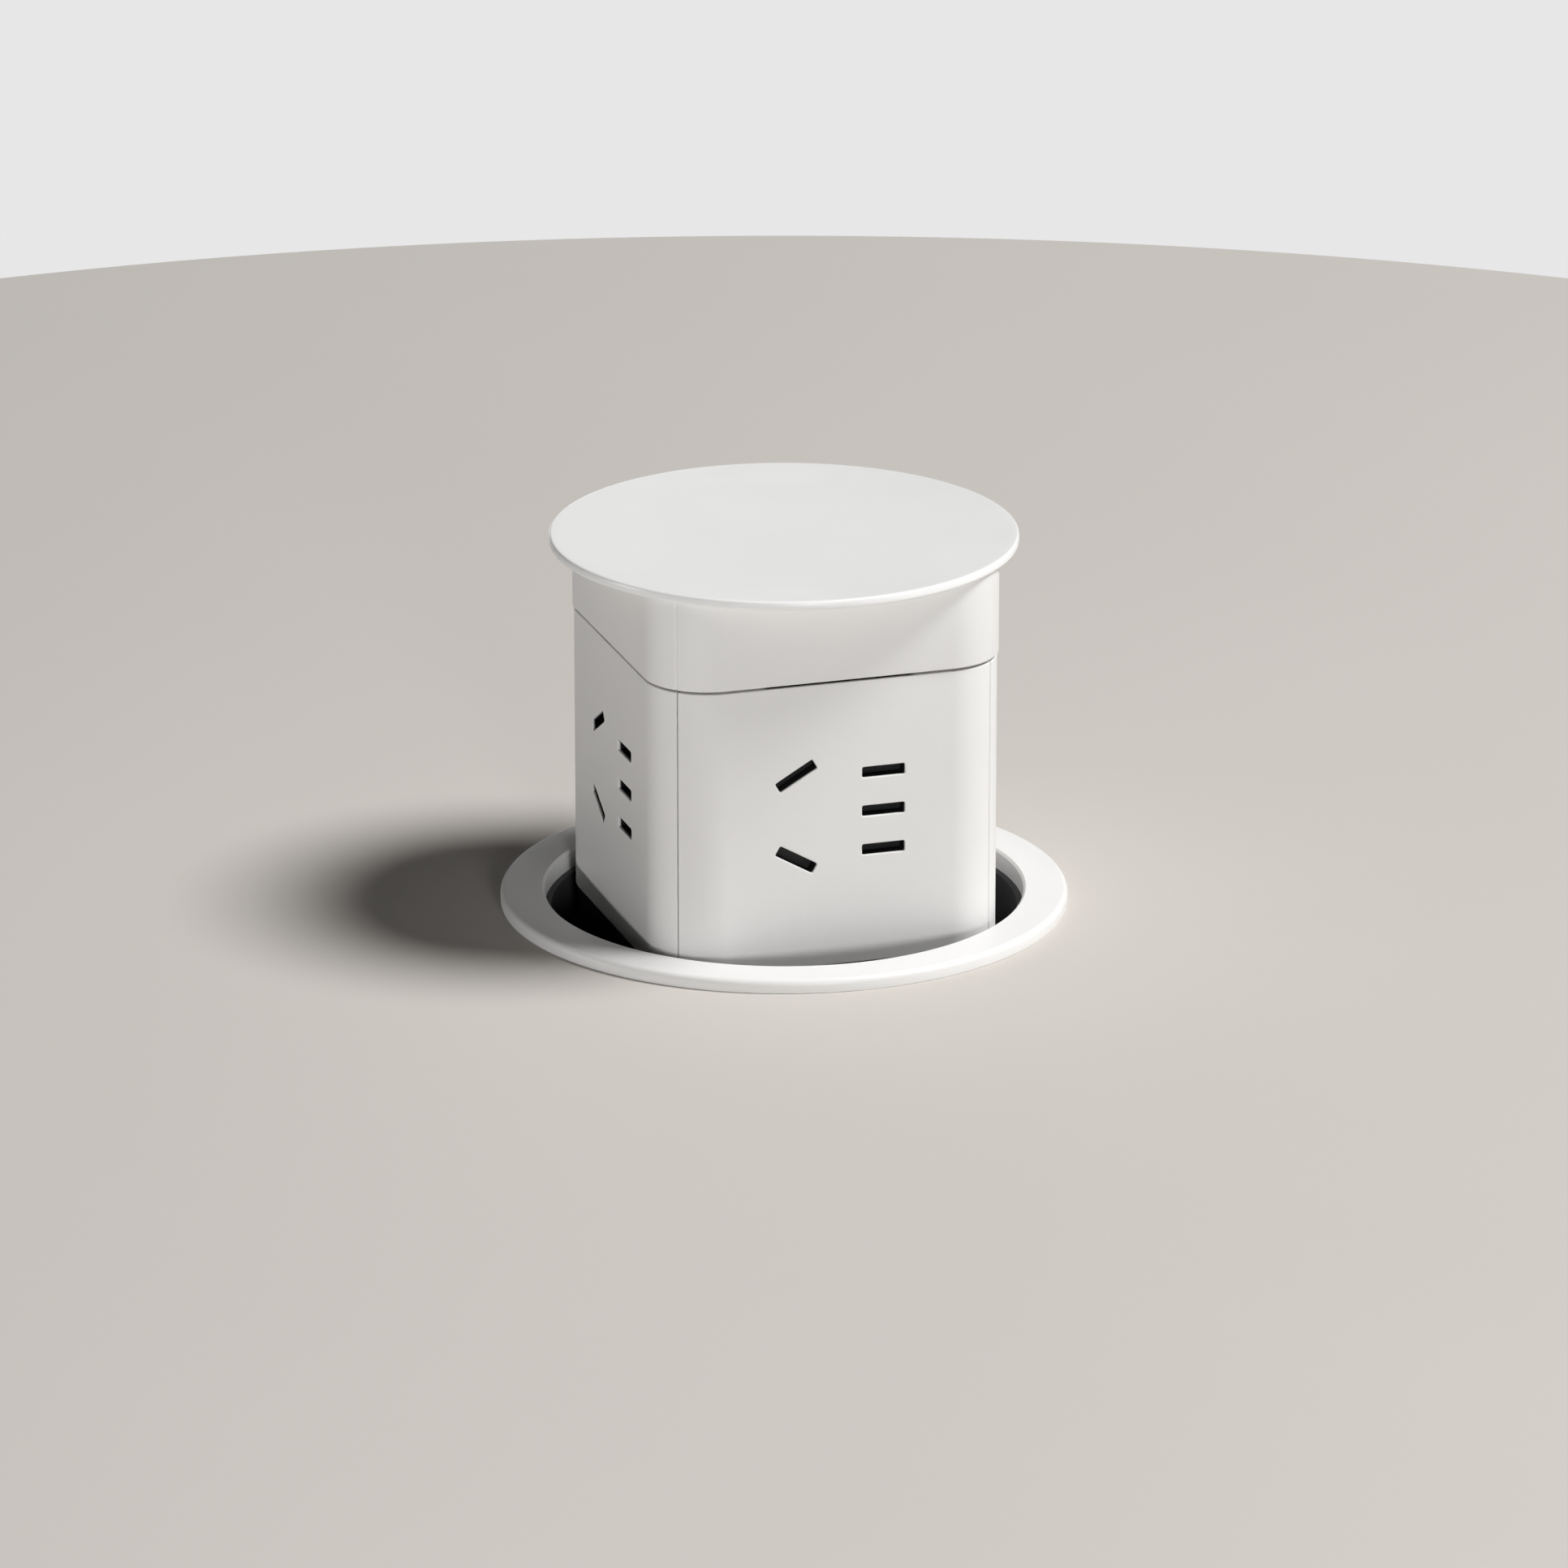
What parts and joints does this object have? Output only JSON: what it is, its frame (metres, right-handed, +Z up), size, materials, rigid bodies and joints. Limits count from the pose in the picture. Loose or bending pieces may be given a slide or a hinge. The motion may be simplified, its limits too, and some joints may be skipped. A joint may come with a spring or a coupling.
{
  "type": "pop-up desk socket tower",
  "caption": "Round desk grommet with a rounded-square socket tower that slides up under a thin round lid, with five-hole sockets on its faces, a lift spring, damper and latch.",
  "frame": {"origin": "centre of the flange on the desk surface", "axes": "+Z up out of the desk, -Y out of the front socket face"},
  "size_m": [0.098, 0.098, 0.1655],
  "materials": {
    "white_shell": "satin white moulded plastic",
    "white_lid": "satin white plate, slightly smoother than the shell",
    "dark_barrel": "dark grey moulded plastic",
    "black_plastic": "black moulded plastic",
    "black_nylon": "black nylon",
    "shutter_plastic": "black moulded plastic",
    "core_plastic": "ivory insulating plastic",
    "gear_plastic": "natural acetal",
    "black_foam": "closed-cell foam",
    "black_rubber": "rubber",
    "steel": "zinc-plated steel",
    "spring_steel": "spring steel",
    "contact_brass": "brass strip",
    "brown_sleeve": "brown insulation",
    "blue_sleeve": "blue insulation",
    "green_sleeve": "green insulation with a yellow stripe"
  },
  "bodies": {
    "base": {"flange_ring": "white_shell", "flange_gasket": "black_foam", "barrel": "dark_barrel", "guide_rails": "black_plastic", "stop_blocks": "black_rubber", "end_cap": "dark_barrel", "end_cap_screws": "steel", "down_stop_pads": "black_rubber", "lift_spring": "spring_steel", "damper_rack": "black_plastic", "latch_housing": "black_plastic", "latch_pins": "steel"},
    "tower": {"lid": "white_lid", "lid_screws": "steel", "neck_cap": "white_shell", "contact_carrier": "core_plastic", "live_busbar": "contact_brass", "neutral_busbar": "contact_brass", "earth_busbar": "contact_brass", "live_wire": "brown_sleeve", "neutral_wire": "blue_sleeve", "earth_wire": "green_sleeve", "terminal_block": "core_plastic", "terminal_screws": "steel", "tie_bolts": "steel", "carriage": "black_plastic", "cable_gland": "black_nylon", "gland_nut": "black_nylon", "damper_body": "black_plastic", "damper_screws": "steel", "striker": "steel", "socket_panel_front": "white_shell", "socket_panel_right": "white_shell", "socket_panel_back": "white_shell", "socket_panel_left": "white_shell", "shutter_tray_front": "black_plastic", "shutter_tray_right": "black_plastic", "shutter_tray_back": "black_plastic", "shutter_tray_left": "black_plastic", "shutter_spring_front": "spring_steel", "shutter_spring_right": "spring_steel", "shutter_spring_back": "spring_steel", "shutter_spring_left": "spring_steel"},
    "gear": {"damper_gear": "gear_plastic"},
    "jaw_right": {"latch_jaw_right": "gear_plastic"},
    "jaw_left": {"latch_jaw_left": "gear_plastic"},
    "washer": {"thrust_washer": "steel"},
    "nut": {"clamp_nut": "black_nylon"},
    "shutter_front": {"shutter_front": "shutter_plastic"},
    "shutter_right": {"shutter_right": "shutter_plastic"},
    "shutter_back": {"shutter_back": "shutter_plastic"},
    "shutter_left": {"shutter_left": "shutter_plastic"}
  },
  "joints": [
    {"name": "tower_slide", "type": "slide", "parent": "base", "child": "tower", "axis": [0, 0, 1], "range_m": [-0.06, 0], "stiffness_N_per_m": 60, "springref_m": 0.13, "deforming": ["lift_spring"]},
    {"name": "damper_turn", "type": "hinge", "parent": "tower", "child": "gear", "pos_m": [0, 0.0307, -0.0145], "axis": [0, 1, 0], "range_deg": [-620, 1]},
    {"name": "jaw_right_turn", "type": "hinge", "parent": "base", "child": "jaw_right", "pos_m": [0.0055, -0.024, -0.095], "axis": [0, -1, 0], "range_deg": [0, 22]},
    {"name": "jaw_left_turn", "type": "hinge", "parent": "base", "child": "jaw_left", "pos_m": [-0.0055, -0.024, -0.095], "axis": [0, -1, 0], "range_deg": [-22, 0]},
    {"name": "clamp_slide", "type": "slide", "parent": "base", "child": "washer", "axis": [0, 0, 1], "range_m": [-0.0351, 0.0111]},
    {"name": "clamp_turn", "type": "hinge", "parent": "washer", "child": "nut", "pos_m": [0, 0, -0.0335], "axis": [0, 0, 1], "range_deg": [-4200, 1320]},
    {"name": "shutter_front_slide", "type": "slide", "parent": "tower", "child": "shutter_front", "axis": [0, 0, 1], "range_m": [-0.0026, 0], "stiffness_N_per_m": 120, "springref_m": 0.003, "deforming": ["shutter_spring_front"]},
    {"name": "shutter_right_slide", "type": "slide", "parent": "tower", "child": "shutter_right", "axis": [0, 0, 1], "range_m": [-0.0026, 0], "stiffness_N_per_m": 120, "springref_m": 0.003, "deforming": ["shutter_spring_right"]},
    {"name": "shutter_back_slide", "type": "slide", "parent": "tower", "child": "shutter_back", "axis": [0, 0, 1], "range_m": [-0.0026, 0], "stiffness_N_per_m": 120, "springref_m": 0.003, "deforming": ["shutter_spring_back"]},
    {"name": "shutter_left_slide", "type": "slide", "parent": "tower", "child": "shutter_left", "axis": [0, 0, 1], "range_m": [-0.0026, 0], "stiffness_N_per_m": 120, "springref_m": 0.003, "deforming": ["shutter_spring_left"]}
  ],
  "couplings": [
    {"joint": "damper_turn", "follows": "tower_slide", "rad_per_m": 178.57},
    {"joint": "jaw_left_turn", "follows": "jaw_right_turn", "ratio": -1},
    {"joint": "clamp_slide", "follows": "clamp_turn", "m_per_rad": 0.00047746}
  ]
}
